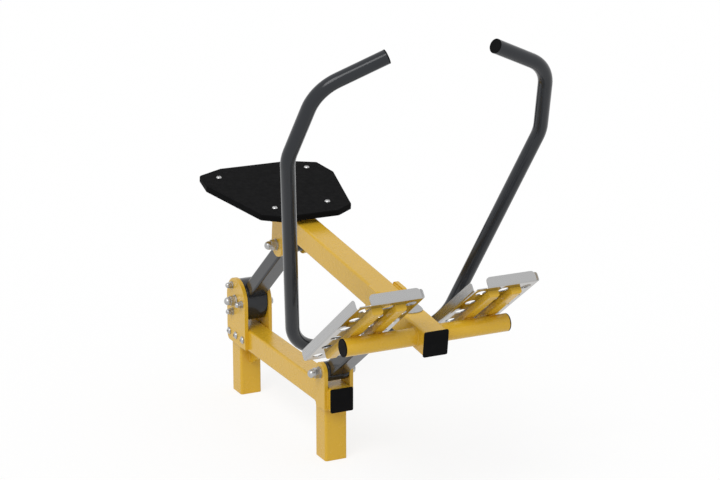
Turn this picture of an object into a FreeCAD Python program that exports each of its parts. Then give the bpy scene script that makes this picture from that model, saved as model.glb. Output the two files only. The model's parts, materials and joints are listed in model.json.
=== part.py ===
import FreeCAD, Part
import math
import os
from collections import namedtuple
from FreeCAD import Placement, Rotation, Vector

# Outdoor rowing machine, in millimetres.
# The origin is the middle of the rear leg's foot on the ground.
# +X points forward, the way the rower faces, +Z points up, and the rower's right side is at -Y.

# Square steel tube of the base beam, the legs and the seat beam
SECTION = 60.0
SECTION_WALL = 3.0
SECTION_CORNER = 6.0

# Base
FRONT_LEG_X = 542.0
BASE_BEAM_Z = 171.0
BASE_BEAM_REACH = 61.0
LEG_FOOT_PLATE = 6.0
GUSSET_LENGTH = 80.0
GUSSET_HEIGHT = 50.0
GUSSET_NOSE = 8.0
GUSSET_PLATE = 8.0
SQUARE_CAP = 4.0
SQUARE_CAP_CORNER = 1.5
FRONT_CAP_OVERHANG = 1.0
FRONT_CAP_CORNER = 4.0
CAP_PLUG_LENGTH = 8.0
CAP_PLUG_CLEARANCE = 0.2

# Pivot plates on both sides of the base beam and of the seat beam
PLATE = 10.0
PLATE_EDGE = 1.0
REAR_PIVOT_X = 24.5
REAR_PIVOT_Z = 271.0
REAR_PLATE_RADIUS = 61.0
REAR_PLATE_BOTTOM = 146.0
REAR_PLATE_CORNER = 15.0
FIXING_PITCH = 45.0
FIXING_OFFSET = -1.0
FRONT_PIVOT_X = 562.0
FRONT_PIVOT_Z = 237.0
FRONT_PLATE_RADIUS = 26.0
FRONT_PLATE_BOTTOM = 143.0

# Swing arms
ARM_WIDTH = 50.0
ARM_DEPTH = 40.0
ARM_WALL = 4.0
ARM_CORNER = 6.0
HOUSING_RADIUS = 25.5
HOUSING_END_GAP = 1.0
DRUM_RADIUS = 57.15
DRUM_WALL = 5.0
HOUSING_EDGE = 0.8

# Bearings and what keeps them in place on the pivot bolts
BEARING_RADIUS = 21.0
BEARING_WIDTH = 12.0
BEARING_RACE = 3.6
BEARING_SEAL_DEPTH = 0.6
BEARING_CLEARANCE = 0.05
SLEEVE_RADIUS = 11.0
SPACER_GAP = 0.1
LINK_BUSH_CLEARANCE = 1.8

# End stop inside the rear drum: bolts with rubber sleeves, and webs that meet them
STOP_BOLTS = 3
STOP_START = 0.0
STOP_CIRCLE = 43.0
BUFFER_RADIUS = 8.5
WEB_PLATE = 8.0
WEB_END_GAP = 2.0
STOP_CLEARANCE = 0.4
REAR_ARM_STROKE = 40.4

# Seat beam, in its own frame: u runs forward from its front end and w square to it
BEAM_END_X = 1102.0
BEAM_END_Z = 472.0
SEAT_SLOPE = 6.77
SEAT_BEAM_LENGTH = 969.0
REAR_CLEVIS_U = -798.0
REAR_CLEVIS_DROP = 66.0
FRONT_CLEVIS_U = -254.0
FRONT_CLEVIS_DROP = 58.0
REAR_CLEVIS_RADIUS = 32.0
FRONT_CLEVIS_RADIUS = 30.0
CLEVIS_RISE = 6.0
CLEVIS_TOP_CORNER = 12.0

# Seat board and its supports
SEAT_REAR_U = -1047.0
SEAT_REAR_HALF = 97.0
SEAT_TAIL_U = -1015.0
SEAT_TAIL_HALF = 168.0
SEAT_WIDE_U = -936.0
SEAT_WIDE_HALF = 180.0
SEAT_NOSE_U = -712.0
SEAT_NOSE_HALF = 125.0
SEAT_FRONT_U = -681.0
SEAT_FRONT_HALF = 76.0
SEAT_BOARD = 15.0
SEAT_CORNER = 10.0
SEAT_EDGE = 3.0
SEAT_REAR_BOLT_U = -986.0
SEAT_REAR_BOLT_HALF = 125.0
SEAT_FRONT_BOLT_U = -745.0
SEAT_FRONT_BOLT_HALF = 73.0
SUPPORT_PLATE = 6.0
SUPPORT_BORDER = 20.0
SUPPORT_CORNER = 12.0
RISER_HEIGHT = 8.0
RISER_WIDTH = 24.0
REAR_RISER_U = -940.0
REAR_RISER_HALF = 90.0
FRONT_RISER_U = -738.0
FRONT_RISER_HALF = 60.0

# Name plate on top of the seat beam, left bare
NAME_PLATE_FRONT_U = -107.0
NAME_PLATE_LENGTH = 110.0
NAME_PLATE_HALF = 27.0
NAME_PLATE = 2.0
NAME_PLATE_CORNER = 22.0

# Foot rest: a cross tube through the seat beam, and two folded tread plates on flat bars
CROSS_TUBE_U = -51.0
CROSS_TUBE_RADIUS = 21.2
CROSS_TUBE_WALL = 3.0
CROSS_TUBE_HALF = 212.0
ROUND_CAP = 3.0
ROUND_CAP_EDGE = 1.2
FOOT_ANGLE = 43.3
FOOT_SHEET = 2.0
FOOT_BEND = 2.5
FOOT_INNER_Y = 64.0
FOOT_WIDTH = 164.0
FOOT_HEEL = 186.0
FOOT_TOE = 176.0
SIDE_FLANGE = 25.0
TOE_FLANGE = 25.0
TOE_FLANGE_INSET = 30.0
TOE_FLANGE_GAP = 9.0
RIGHT_FLANGE_SETBACK = 18.0
LEFT_FLANGE_SETBACK = 5.0
FLANGE_CORNER = 10.0
TREAD_ROWS = 6
TREAD_COLUMNS = 3
TREAD_ROW_PITCH = 60.0
TREAD_COLUMN_PITCH = 58.0
TREAD_HOLE_RADIUS = 12.5
TREAD_RIM = 3.5
TREAD_RIM_HEIGHT = 0.6
FOOT_BAR = 15.0
FOOT_BAR_WIDTH = 26.0
FOOT_BAR_REAR = -150.0
FOOT_BAR_FRONT = 150.0
FOOT_BAR_EDGE = 5.0
FOOT_BAR_SADDLE = 0.7
FOOT_BOLT_HALF_PITCH = 120.0
TAP_FLOOR = 2.0
TAP_END_GAP = 0.5

# Handlebars: bent round tube from the front arm to the grip, right side mirrored
HANDLE_RADIUS = 16.85
HANDLE_WALL = 3.0
HANDLE_BEND = 100.0
HANDLE_ROOT = 234.0
HANDLE_ELBOW_Y = 197.0
HANDLE_SHOULDER_X = 1001.0
HANDLE_SHOULDER_Y = 319.0
HANDLE_SHOULDER_Z = 914.0
HANDLE_HAND_BEND_X = 1080.0
HANDLE_HAND_BEND_Y = 286.0
HANDLE_HAND_BEND_Z = 1080.0
HANDLE_END_X = 1114.0
HANDLE_END_Y = 132.0
HANDLE_END_Z = 1147.0

# Metric fasteners: the dome radius is a cap nut's, and the last three sizes are a button head's
Fastener = namedtuple(
    "Fastener", "shank flats head nut cap_height dome washer_radius washer button button_height socket")
M16 = Fastener(8.0, 24.0, 10.0, 14.0, 30.0, 11.0, 15.0, 3.0, 14.0, 8.8, 10.0)
M10 = Fastener(5.0, 16.0, 6.4, 8.0, 18.0, 7.5, 10.0, 2.0, 8.75, 5.5, 6.0)
M8 = Fastener(4.0, 13.0, 5.3, 6.5, 15.0, 6.0, 8.0, 1.6, 7.2, 4.4, 5.0)
HOLE_CLEARANCE = 0.25
THREAD_CLEARANCE = 0.05
NUT_ROOF = 5.0
HEX_CHAMFER = 30.0

# Points, levels and widths that follow from the sizes above
REAR_PIVOT = Vector(REAR_PIVOT_X, 0.0, REAR_PIVOT_Z)
FRONT_PIVOT = Vector(FRONT_PIVOT_X, 0.0, FRONT_PIVOT_Z)
BEAM_END = Vector(BEAM_END_X, 0.0, BEAM_END_Z)
HANDLE_SHOULDER = Vector(HANDLE_SHOULDER_X, HANDLE_SHOULDER_Y, HANDLE_SHOULDER_Z)
HANDLE_HAND_BEND = Vector(HANDLE_HAND_BEND_X, HANDLE_HAND_BEND_Y, HANDLE_HAND_BEND_Z)
HANDLE_END = Vector(HANDLE_END_X, HANDLE_END_Y, HANDLE_END_Z)
HALF = SECTION / 2.0
BASE_BOTTOM = BASE_BEAM_Z - HALF
BASE_FRONT_X = FRONT_LEG_X + BASE_BEAM_REACH
PLATE_FACE = HALF + PLATE
HOUSING_HALF = HALF - HOUSING_END_GAP
RISER_TOP = HALF + RISER_HEIGHT
SEAT_UNDERSIDE = RISER_TOP + SUPPORT_PLATE
SEAT_TOP = SEAT_UNDERSIDE + SEAT_BOARD
FOOT_LIFT = CROSS_TUBE_RADIUS + FOOT_BAR - FOOT_BAR_SADDLE
SIDES = (("right", -1.0), ("left", 1.0))
AXIS_X = Vector(1.0, 0.0, 0.0)
AXIS_Y = Vector(0.0, 1.0, 0.0)
OVERSIZE = 2000.0
TOUCH = 1e-6

SEAT_FRAME = Placement(BEAM_END, Rotation(AXIS_Y, SEAT_SLOPE))
CROSS_TUBE_FRAME = Placement(Vector(CROSS_TUBE_U, 0.0, 0.0), Rotation(AXIS_Y, -FOOT_ANGLE))
FOOT_FRAME = SEAT_FRAME.multiply(CROSS_TUBE_FRAME)
REAR_LINK = SEAT_FRAME.multVec(Vector(REAR_CLEVIS_U, 0.0, -REAR_CLEVIS_DROP))
FRONT_LINK = SEAT_FRAME.multVec(Vector(FRONT_CLEVIS_U, 0.0, -FRONT_CLEVIS_DROP))

nodes = {}


# Basic shapes

def placed(shape, placement):
    moved = shape.copy()
    moved.Placement = placement.multiply(moved.Placement)
    return moved


def shifted(shape, x, y, z):
    return placed(shape, Placement(Vector(x, y, z), Rotation()))


def block(x, y, z):
    return Part.makeBox(x[1] - x[0], y[1] - y[0], z[1] - z[0], Vector(x[0], y[0], z[0]))


def rod(radius, y, x=0.0, z=0.0):
    return Part.makeCylinder(radius, y[1] - y[0], Vector(x, y[0], z), AXIS_Y)


def ring(outer, inner, y, x=0.0, z=0.0):
    return rod(outer, y, x, z).cut(rod(inner, y, x, z))


def edges_along(shape, axis, test=None):
    found = []
    for edge in shape.Edges:
        if edge.Curve.TypeId != "Part::GeomLine":
            continue
        direction = edge.tangentAt(edge.FirstParameter)
        if abs(abs(direction.dot(axis)) - 1.0) < TOUCH and (test is None or test(edge.CenterOfMass)):
            found.append(edge)
    return found


def bar(x, width, height, corner):
    solid = block(x, (-width / 2.0, width / 2.0), (-height / 2.0, height / 2.0))
    return solid.makeFillet(corner, edges_along(solid, AXIS_X))


def tube(x, width, height, wall, corner):
    bore = bar(x, width - 2.0 * wall, height - 2.0 * wall, corner - wall)
    return bar(x, width, height, corner).cut(bore)


def square_tube(x):
    return tube(x, SECTION, SECTION, SECTION_WALL, SECTION_CORNER)


def prism(points, y):
    corners = [Vector(px, y[0], pz) for px, pz in points]
    face = Part.Face(Part.makePolygon(corners + corners[:1]))
    return face.extrude(Vector(0.0, y[1] - y[0], 0.0))


def rounded_outline(plate, size, face_y):
    # Rounds the edges of an undrilled plate that lie on its broad face at face_y.
    outline = []
    for edge in plate.Edges:
        spread = edge.BoundBox
        if spread.YLength < TOUCH and abs(spread.YMin - face_y) < TOUCH:
            outline.append(edge)
    return plate.makeFillet(size, outline)


# Fasteners, made along +Y from a seat at y = 0

def hex_prism(flats, y):
    corner = flats / math.sqrt(3.0)
    points = []
    for step in range(6):
        angle = math.radians(60.0 * step)
        points.append((corner * math.cos(angle), corner * math.sin(angle)))
    return prism(points, y)


def hexagon(flats, length):
    corner = flats / math.sqrt(3.0)
    blank = hex_prism(flats, (0.0, length))
    chamfer = (corner - flats / 2.0) * math.tan(math.radians(HEX_CHAMFER))
    shank = rod(corner, (0.0, length - chamfer))
    nose = Part.makeCone(corner, flats / 2.0, chamfer, Vector(0.0, length - chamfer, 0.0), AXIS_Y)
    return blank.common(shank.fuse(nose))


def cap_nut(size):
    dome_base = size.cap_height - size.dome
    body = hexagon(size.flats, size.nut).fuse(rod(size.dome, (0.0, dome_base)))
    body = body.fuse(Part.makeSphere(size.dome, Vector(0.0, dome_base, 0.0)).common(
        rod(size.cap_height, (dome_base, size.cap_height))))
    bore = rod(size.shank + THREAD_CLEARANCE, (0.0, size.cap_height - NUT_ROOF))
    return body.cut(bore).removeSplitter()


def hex_nut(size):
    return hexagon(size.flats, size.nut).cut(rod(size.shank + THREAD_CLEARANCE, (0.0, size.nut)))


def washer(size):
    return ring(size.washer_radius, size.shank + HOLE_CLEARANCE, (0.0, size.washer))


def hex_bolt(size, length):
    return hexagon(size.flats, size.head).fuse(rod(size.shank, (-length, 0.0))).removeSplitter()


def button_bolt(size, length):
    height = size.button_height
    ball = (size.button ** 2 + height ** 2) / (2.0 * height)
    head = Part.makeSphere(ball, Vector(0.0, height - ball, 0.0))
    head = head.common(rod(ball, (0.0, height)))
    bolt = head.fuse(rod(size.shank, (-length, 0.0))).removeSplitter()
    return bolt.cut(hex_prism(size.socket, (height / 2.0, height)))


def on_side(shape, side, x, y, z):
    turn = Rotation(Vector(0.0, 0.0, 1.0), 0.0 if side > 0.0 else 180.0)
    return placed(shape, Placement(Vector(x, side * y, z), turn))


def on_top(shape, x, y, z):
    return placed(shape, Placement(Vector(x, y, z), Rotation(AXIS_X, 90.0)))


def cap_nut_set(size, spots, frame=None):
    # Hex bolts from the left side with a washer at each end and a cap nut on the right side.
    bolts, nuts, washers = [], [], []
    seat = PLATE_FACE + size.washer
    reach = 2.0 * seat + size.cap_height - NUT_ROOF - THREAD_CLEARANCE
    for x, z in spots:
        bolts.append(on_side(hex_bolt(size, reach), 1.0, x, seat, z))
        nuts.append(on_side(cap_nut(size), -1.0, x, seat, z))
        for _, side in SIDES:
            washers.append(on_side(washer(size), side, x, PLATE_FACE, z))
    groups = [Part.makeCompound(group) for group in (bolts, nuts, washers)]
    return [placed(group, frame) if frame else group for group in groups]


# Base frame

def square_cap(direction, overhang=0.0, corner=SECTION_CORNER):
    across = SECTION + 2.0 * overhang
    face = bar((0.0, SQUARE_CAP), across, across, corner)
    rim = [edge for edge in face.Edges if edge.BoundBox.XMin > SQUARE_CAP - TOUCH]
    face = face.makeFillet(SQUARE_CAP_CORNER, rim)
    inside = SECTION - 2.0 * SECTION_WALL - 2.0 * CAP_PLUG_CLEARANCE
    cap = face.fuse(bar((-CAP_PLUG_LENGTH, 0.0), inside, inside, SECTION_CORNER - SECTION_WALL))
    cap = cap.removeSplitter()
    if direction < 0.0:
        cap = placed(cap, Placement(Vector(), Rotation(Vector(0.0, 0.0, 1.0), 180.0)))
    return cap


def gusset(corner_x, direction):
    points = [
        (corner_x, BASE_BOTTOM),
        (corner_x + direction * GUSSET_LENGTH, BASE_BOTTOM),
        (corner_x + direction * GUSSET_LENGTH, BASE_BOTTOM - GUSSET_NOSE),
        (corner_x + direction * GUSSET_NOSE, BASE_BOTTOM - GUSSET_HEIGHT),
        (corner_x, BASE_BOTTOM - GUSSET_HEIGHT),
    ]
    return prism(points, (-GUSSET_PLATE / 2.0, GUSSET_PLATE / 2.0))


def fixing_spots():
    middle = REAR_PIVOT.x + FIXING_OFFSET
    return [(middle + step * FIXING_PITCH, BASE_BEAM_Z) for step in (-1, 0, 1)]


def stop_spots():
    spots = []
    for step in range(STOP_BOLTS):
        angle = math.radians(STOP_START + 360.0 / STOP_BOLTS * step)
        x = REAR_PIVOT.x + STOP_CIRCLE * math.cos(angle)
        spots.append((x, REAR_PIVOT.z + STOP_CIRCLE * math.sin(angle)))
    return spots


def drilled(shape, size, spots):
    for x, z in spots:
        shape = shape.cut(rod(size.shank + HOLE_CLEARANCE, (-OVERSIZE, OVERSIZE), x, z))
    return shape


def upright_plate(side, pivot, radius, bottom, corner):
    y = sorted((side * HALF, side * PLATE_FACE))
    plate = block((pivot.x - radius, pivot.x + radius), y, (bottom, pivot.z))
    if corner:
        heel = edges_along(plate, AXIS_Y, lambda at: at.x < pivot.x and at.z < pivot.z - 1.0)
        plate = plate.makeFillet(corner, heel)
    plate = plate.fuse(rod(radius, y, pivot.x, pivot.z)).removeSplitter()
    plate = rounded_outline(plate, PLATE_EDGE, side * PLATE_FACE)
    return drilled(plate, M16, [(pivot.x, pivot.z)])


def base_frame():
    beam = shifted(square_tube((-HALF, BASE_FRONT_X)), 0.0, 0.0, BASE_BEAM_Z)
    nodes["base_beam"] = drilled(beam, M10, fixing_spots())
    foot_size = SECTION - 2.0 * SECTION_WALL
    feet = []
    for name, x in (("rear_leg", 0.0), ("front_leg", FRONT_LEG_X)):
        upright = Placement(Vector(x, 0.0, 0.0), Rotation(AXIS_Y, -90.0))
        nodes[name] = placed(square_tube((0.0, BASE_BOTTOM)), upright)
        foot = bar((0.0, LEG_FOOT_PLATE), foot_size, foot_size, SECTION_CORNER - SECTION_WALL)
        feet.append(placed(foot, upright))
    nodes["leg_foot_plates"] = Part.makeCompound(feet)
    nodes["leg_gussets"] = Part.makeCompound([gusset(HALF, 1.0), gusset(FRONT_LEG_X - HALF, -1.0)])
    front_cap = square_cap(1.0, FRONT_CAP_OVERHANG, FRONT_CAP_CORNER)
    nodes["base_beam_front_cap"] = shifted(front_cap, BASE_FRONT_X, 0.0, BASE_BEAM_Z)
    rear_cap = shifted(square_cap(-1.0), -HALF, 0.0, BASE_BEAM_Z)
    nodes["base_beam_rear_cap"] = drilled(rear_cap, M10, fixing_spots())


def pivot_plates():
    for name, side in SIDES:
        rear = upright_plate(side, REAR_PIVOT, REAR_PLATE_RADIUS, REAR_PLATE_BOTTOM, REAR_PLATE_CORNER)
        nodes["rear_pivot_plate_" + name] = drilled(rear, M10, fixing_spots() + stop_spots())
        nodes["front_pivot_plate_" + name] = upright_plate(
            side, FRONT_PIVOT, FRONT_PLATE_RADIUS, FRONT_PLATE_BOTTOM, 0.0)


def base_fasteners():
    pivots = [(REAR_PIVOT.x, REAR_PIVOT.z), (FRONT_PIVOT.x, FRONT_PIVOT.z)]
    bolts, nuts, washers = cap_nut_set(M16, pivots)
    nodes["base_pivot_bolts"] = bolts
    nodes["base_pivot_cap_nuts"] = nuts
    nodes["base_pivot_washers"] = washers
    bolts, nuts, stop_washers = cap_nut_set(M10, stop_spots())
    nodes["stop_bolts"] = bolts
    nodes["stop_bolt_cap_nuts"] = nuts
    fixing_bolts, fixing_nuts, washers = [], [], stop_washers.Solids
    seat = PLATE_FACE + M10.washer
    for x, z in fixing_spots():
        fixing_bolts.append(on_side(button_bolt(M10, 2.0 * seat + M10.nut), -1.0, x, seat, z))
        fixing_nuts.append(on_side(hex_nut(M10), 1.0, x, seat, z))
        for _, side in SIDES:
            washers.append(on_side(washer(M10), side, x, PLATE_FACE, z))
    nodes["plate_fixing_bolts"] = Part.makeCompound(fixing_bolts)
    nodes["plate_fixing_nuts"] = Part.makeCompound(fixing_nuts)
    nodes["rear_plate_washers"] = Part.makeCompound(washers)


def stop_buffers():
    y = (SPACER_GAP - HALF, HALF - SPACER_GAP)
    bore = M10.shank + THREAD_CLEARANCE
    sleeves = [ring(BUFFER_RADIUS, bore, y, x, z) for x, z in stop_spots()]
    nodes["stop_buffers"] = Part.makeCompound(sleeves)


# Bearings sit in the housings of the arms, and the sleeves and shims on the bolts

def bearing(y, x, z):
    bore = M16.shank + BEARING_CLEARANCE
    race = ring(BEARING_RADIUS, bore, y, x, z)
    for face in ((y[0], y[0] + BEARING_SEAL_DEPTH), (y[1] - BEARING_SEAL_DEPTH, y[1])):
        race = race.cut(ring(BEARING_RADIUS - BEARING_RACE, bore + BEARING_RACE, face, x, z))
    return race


def bearing_pair(pivot):
    inner = HOUSING_HALF - BEARING_WIDTH
    near = bearing((-HOUSING_HALF, -inner), pivot.x, pivot.z)
    far = bearing((inner, HOUSING_HALF), pivot.x, pivot.z)
    return [near, far]


def bolt_sleeves(pivot):
    bore = M16.shank + THREAD_CLEARANCE
    middle = HOUSING_HALF - BEARING_WIDTH - SPACER_GAP
    parts = [ring(SLEEVE_RADIUS, bore, (-middle, middle), pivot.x, pivot.z)]
    for y in ((-HALF, -HOUSING_HALF - SPACER_GAP), (HOUSING_HALF + SPACER_GAP, HALF)):
        parts.append(ring(SLEEVE_RADIUS, bore, y, pivot.x, pivot.z))
    return parts


def housing(pivot, radius, bore):
    shell = rod(radius, (-HOUSING_HALF, HOUSING_HALF), pivot.x, pivot.z)
    ends = [edge for edge in shell.Edges if edge.Curve.TypeId == "Part::GeomCircle"]
    return shell.makeFillet(HOUSING_EDGE, ends).cut(
        rod(bore, (-HOUSING_HALF, HOUSING_HALF), pivot.x, pivot.z))


def arm_tube(low, high, low_radius, high_radius):
    reach = high.sub(low)
    angle = math.degrees(math.atan2(reach.z, reach.x))
    frame = Placement(low, Rotation(AXIS_Y, -angle))
    shape = placed(tube((0.0, reach.Length), ARM_WIDTH, ARM_DEPTH, ARM_WALL, ARM_CORNER), frame)
    shape = shape.cut(rod(low_radius, (-OVERSIZE, OVERSIZE), low.x, low.z))
    return shape.cut(rod(high_radius, (-OVERSIZE, OVERSIZE), high.x, high.z))


def stop_web(angle):
    half = HOUSING_HALF - WEB_END_GAP
    web = block((0.0, DRUM_RADIUS), (-half, half), (-WEB_PLATE / 2.0, WEB_PLATE / 2.0))
    web = placed(web, Placement(REAR_PIVOT, Rotation(AXIS_Y, -angle)))
    room = ring(DRUM_RADIUS - DRUM_WALL, HOUSING_RADIUS, (-half, half), REAR_PIVOT.x, REAR_PIVOT.z)
    return web.common(room)


def rear_arm():
    nodes["rear_drum"] = housing(REAR_PIVOT, DRUM_RADIUS, DRUM_RADIUS - DRUM_WALL)
    nodes["rear_drum_hub"] = housing(REAR_PIVOT, HOUSING_RADIUS, BEARING_RADIUS)
    reach = BUFFER_RADIUS + WEB_PLATE / 2.0 + STOP_CLEARANCE
    contact = math.degrees(math.asin(reach / STOP_CIRCLE))
    last = STOP_START + 360.0 / STOP_BOLTS * (STOP_BOLTS - 1)
    angles = (STOP_START + contact, last - contact - REAR_ARM_STROKE, last + contact)
    nodes["rear_drum_stop_webs"] = Part.makeCompound([stop_web(angle) for angle in angles])
    nodes["rear_drum_bearings"] = Part.makeCompound(bearing_pair(REAR_PIVOT))
    nodes["rear_arm_tube"] = arm_tube(REAR_PIVOT, REAR_LINK, DRUM_RADIUS, HOUSING_RADIUS)
    nodes["rear_arm_top_housing"] = housing(REAR_LINK, HOUSING_RADIUS, BEARING_RADIUS)
    half = HOUSING_HALF
    bush = ring(BEARING_RADIUS, M16.shank + LINK_BUSH_CLEARANCE, (-half, half), REAR_LINK.x, REAR_LINK.z)
    nodes["rear_arm_top_bush"] = bush


def front_arm():
    nodes["front_arm_foot_housing"] = housing(FRONT_PIVOT, HOUSING_RADIUS, BEARING_RADIUS)
    nodes["front_arm_foot_bearings"] = Part.makeCompound(bearing_pair(FRONT_PIVOT))
    nodes["front_arm_tube"] = arm_tube(FRONT_PIVOT, FRONT_LINK, HOUSING_RADIUS, HOUSING_RADIUS)
    nodes["front_arm_top_housing"] = housing(FRONT_LINK, HOUSING_RADIUS, BEARING_RADIUS)
    nodes["front_arm_top_bearings"] = Part.makeCompound(bearing_pair(FRONT_LINK))


# Handlebars

def bent_path(points, radius):
    edges = []
    start = points[0]
    for before, corner, after in zip(points, points[1:], points[2:]):
        back = before.sub(corner).normalize()
        onward = after.sub(corner).normalize()
        half_angle = back.getAngle(onward) / 2.0
        setback = radius / math.tan(half_angle)
        enter = corner.add(back * setback)
        leave = corner.add(onward * setback)
        inward = back.add(onward).normalize()
        middle = corner.add(inward * (radius / math.sin(half_angle) - radius))
        edges.append(Part.LineSegment(start, enter).toShape())
        edges.append(Part.Arc(enter, middle, leave).toShape())
        start = leave
    edges.append(Part.LineSegment(start, points[-1]).toShape())
    return Part.Wire(edges)


def swept(path, radius):
    start = path.Edges[0]
    at = start.FirstParameter
    section = Part.makeCircle(radius, start.valueAt(at), start.tangentAt(at))
    return path.makePipeShell([Part.Wire(section)], True, False)


def handlebar_points():
    along = FRONT_LINK.sub(FRONT_PIVOT).normalize()
    root = FRONT_PIVOT.add(along * HANDLE_ROOT)
    elbow = root.add(Vector(0.0, HANDLE_ELBOW_Y, 0.0))
    grip = HANDLE_HAND_BEND.sub(HANDLE_END).normalize()
    tip = HANDLE_END.add(grip * ROUND_CAP)
    return [root, elbow, HANDLE_SHOULDER, HANDLE_HAND_BEND, tip], grip


def handlebar():
    points, _ = handlebar_points()
    path = bent_path(points, HANDLE_BEND)
    bar_tube = swept(path, HANDLE_RADIUS).cut(swept(path, HANDLE_RADIUS - HANDLE_WALL))
    arm_sides = (-ARM_WIDTH / 2.0, ARM_WIDTH / 2.0)
    return bar_tube.cut(block((0.0, OVERSIZE), arm_sides, (0.0, OVERSIZE)))


def round_cap(radius, wall):
    # A domed plug made along +Y, with its flange seated at y = 0.
    flange = rod(radius, (0.0, ROUND_CAP))
    rim = [edge for edge in flange.Edges if edge.BoundBox.YMin > ROUND_CAP - TOUCH]
    flange = flange.makeFillet(ROUND_CAP_EDGE, rim)
    plug = rod(radius - wall - CAP_PLUG_CLEARANCE, (-CAP_PLUG_LENGTH, 0.0))
    return flange.fuse(plug).removeSplitter()


def mirrored(shape):
    return shape.mirror(Vector(), AXIS_Y)


def handlebars():
    left = handlebar()
    points, grip = handlebar_points()
    end = Placement(points[-1], Rotation(AXIS_Y, grip * -1.0))
    cap = placed(round_cap(HANDLE_RADIUS, HANDLE_WALL), end)
    nodes["left_handlebar"] = left
    nodes["right_handlebar"] = mirrored(left)
    nodes["left_handlebar_cap"] = cap
    nodes["right_handlebar_cap"] = mirrored(cap)


# Seat carriage, made in the seat beam's own frame

def clevis_plate(side, u, drop, radius):
    y = sorted((side * HALF, side * PLATE_FACE))
    top = HALF + CLEVIS_RISE
    plate = block((u - radius, u + radius), y, (-drop, top))
    shoulders = edges_along(plate, AXIS_Y, lambda at: at.z > 0.0)
    plate = plate.makeFillet(CLEVIS_TOP_CORNER, shoulders)
    plate = plate.fuse(rod(radius, y, u, -drop)).removeSplitter()
    plate = rounded_outline(plate, PLATE_EDGE, side * PLATE_FACE)
    return drilled(plate, M16, [(u, -drop)])


def seat_beam():
    beam = square_tube((-SEAT_BEAM_LENGTH, -SQUARE_CAP))
    beam = beam.cut(rod(CROSS_TUBE_RADIUS, (-OVERSIZE, OVERSIZE), CROSS_TUBE_U, 0.0))
    nodes["seat_beam"] = placed(beam, SEAT_FRAME)
    front_cap = square_cap(1.0, FRONT_CAP_OVERHANG, FRONT_CAP_CORNER)
    nodes["seat_beam_front_cap"] = placed(shifted(front_cap, -SQUARE_CAP, 0.0, 0.0), SEAT_FRAME)
    nodes["seat_beam_rear_cap"] = placed(shifted(square_cap(-1.0), -SEAT_BEAM_LENGTH, 0.0, 0.0), SEAT_FRAME)
    clevises = (
        ("rear", REAR_CLEVIS_U, REAR_CLEVIS_DROP, REAR_CLEVIS_RADIUS),
        ("front", FRONT_CLEVIS_U, FRONT_CLEVIS_DROP, FRONT_CLEVIS_RADIUS),
    )
    for place, u, drop, radius in clevises:
        for name, side in SIDES:
            plate = clevis_plate(side, u, drop, radius)
            nodes[place + "_clevis_plate_" + name] = placed(plate, SEAT_FRAME)
    pivots = [(u, -drop) for _, u, drop, _ in clevises]
    bolts, nuts, washers = cap_nut_set(M16, pivots, SEAT_FRAME)
    nodes["clevis_bolts"] = bolts
    nodes["clevis_cap_nuts"] = nuts
    nodes["clevis_washers"] = washers


def board(half_widths, w, corner):
    # A flat board, symmetrical about the beam, from stations of u and half width.
    right = [Vector(u, -half, w[0]) for u, half in half_widths]
    left = [Vector(u, half, w[0]) for u, half in reversed(half_widths)]
    face = Part.Face(Part.makePolygon(right + left + right[:1]))
    solid = face.extrude(Vector(0.0, 0.0, w[1] - w[0]))
    return solid.makeFillet(corner, edges_along(solid, Vector(0.0, 0.0, 1.0)))


def seat_bolt_spots():
    rows = ((SEAT_REAR_BOLT_U, SEAT_REAR_BOLT_HALF), (SEAT_FRONT_BOLT_U, SEAT_FRONT_BOLT_HALF))
    return [(u, side * half) for u, half in rows for _, side in SIDES]


def bored(shape, size, spots):
    for u, y in spots:
        shape = shape.cut(Part.makeCylinder(size.shank + HOLE_CLEARANCE, OVERSIZE, Vector(u, y, 0.0)))
    return shape


def seat():
    outline = [
        (SEAT_REAR_U, SEAT_REAR_HALF),
        (SEAT_TAIL_U, SEAT_TAIL_HALF),
        (SEAT_WIDE_U, SEAT_WIDE_HALF),
        (SEAT_NOSE_U, SEAT_NOSE_HALF),
        (SEAT_FRONT_U, SEAT_FRONT_HALF),
    ]
    top = board(outline, (SEAT_UNDERSIDE, SEAT_TOP), SEAT_CORNER)
    rim = [edge for edge in top.Edges if edge.BoundBox.ZMin > SEAT_TOP - TOUCH]
    top = top.makeFillet(SEAT_EDGE, rim)
    nodes["seat_board"] = placed(bored(top, M8, seat_bolt_spots()), SEAT_FRAME)
    support_outline = [
        (SEAT_REAR_BOLT_U - SUPPORT_BORDER, SEAT_REAR_BOLT_HALF + SUPPORT_BORDER),
        (SEAT_FRONT_BOLT_U + SUPPORT_BORDER, SEAT_FRONT_BOLT_HALF + SUPPORT_BORDER),
    ]
    support = board(support_outline, (RISER_TOP, SEAT_UNDERSIDE), SUPPORT_CORNER)
    nodes["seat_support_plate"] = placed(bored(support, M8, seat_bolt_spots()), SEAT_FRAME)
    risers = []
    for u, half in ((REAR_RISER_U, REAR_RISER_HALF), (FRONT_RISER_U, FRONT_RISER_HALF)):
        reach = (u - RISER_WIDTH / 2.0, u + RISER_WIDTH / 2.0)
        risers.append(block(reach, (-half, half), (HALF, RISER_TOP)))
    nodes["seat_risers"] = placed(Part.makeCompound(risers), SEAT_FRAME)
    grip = SEAT_BOARD + SUPPORT_PLATE + M8.nut
    bolts = [on_top(button_bolt(M8, grip), u, y, SEAT_TOP) for u, y in seat_bolt_spots()]
    nodes["seat_bolts"] = placed(Part.makeCompound(bolts), SEAT_FRAME)
    nuts = [on_top(hex_nut(M8), u, y, RISER_TOP - M8.nut) for u, y in seat_bolt_spots()]
    nodes["seat_nuts"] = placed(Part.makeCompound(nuts), SEAT_FRAME)


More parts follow.
